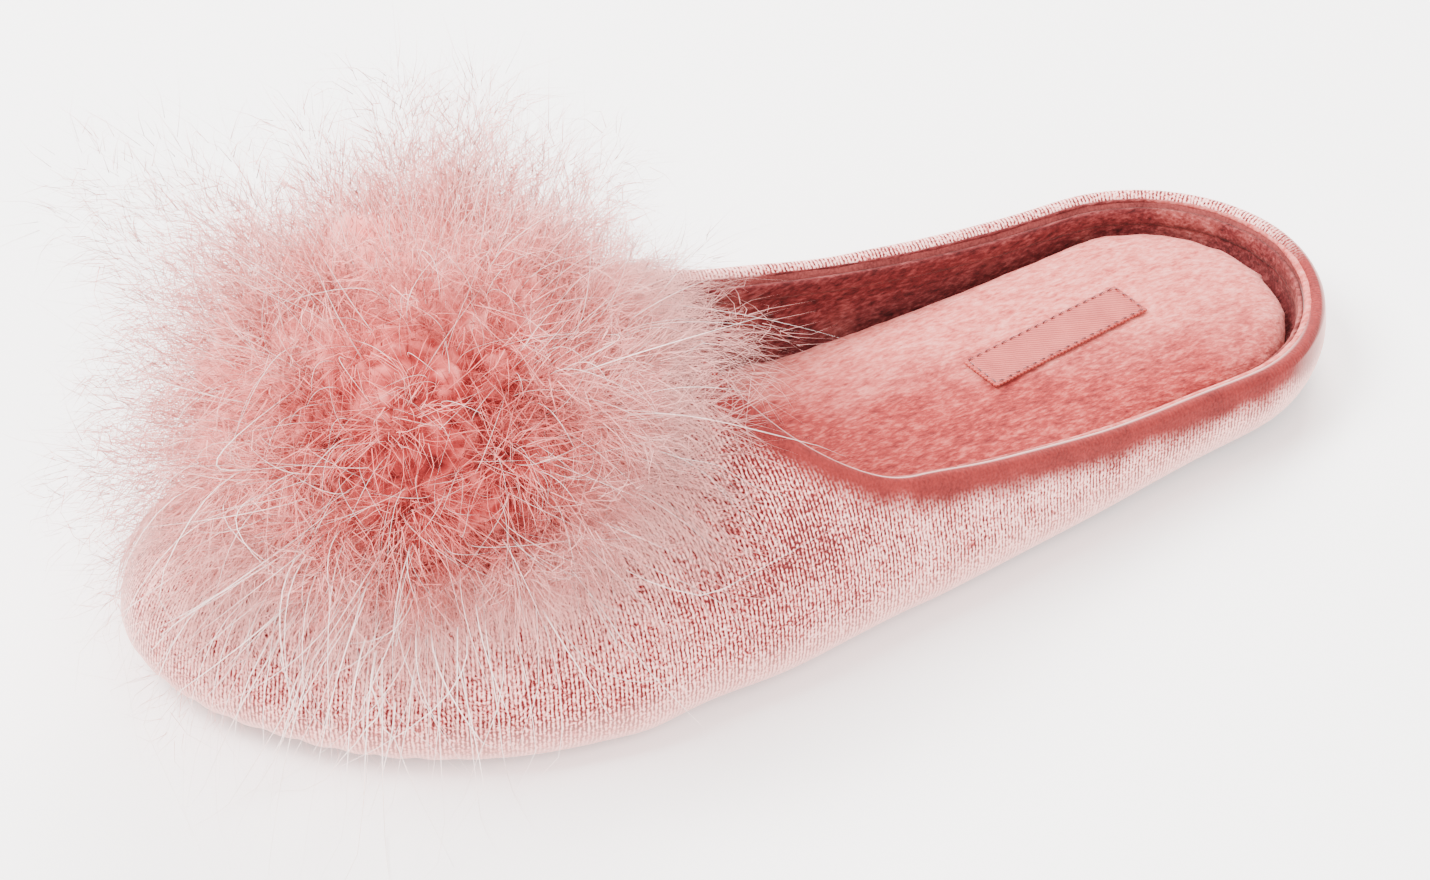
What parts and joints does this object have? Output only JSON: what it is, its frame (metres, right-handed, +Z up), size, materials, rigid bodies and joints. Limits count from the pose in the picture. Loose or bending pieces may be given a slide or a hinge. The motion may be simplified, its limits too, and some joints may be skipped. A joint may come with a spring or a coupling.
{
  "type": "pom pom slipper",
  "caption": "Left velvet mule slipper with a padded upper, plush insole, thin flat sole and a large feather pom pom on the vamp.",
  "frame": {"origin": "on the floor plane, under the middle of the slipper's length", "axes": "+Z up, toe towards -Y and heel towards +Y, +X the outer (little toe) side of this left shoe"},
  "size_m": [0.1124, 0.2519, 0.1055],
  "materials": {
    "velvet": "stretch velvet with fine ribs, dusty rose, paler where the pile is seen edge on",
    "plush_lining": "short coral plush, brushed",
    "label_satin": "bare woven satin patch with a darker stitched edge",
    "sole_rubber": "matt soft rubber with a fine grain",
    "feather": "fine downy feathers, coral inside and pale pink at the tips"
  },
  "bodies": {
    "root": {"outsole": "sole_rubber", "insole": "plush_lining", "insole_label": "label_satin", "upper": "velvet", "pompom": "feather"}
  },
  "joints": []
}
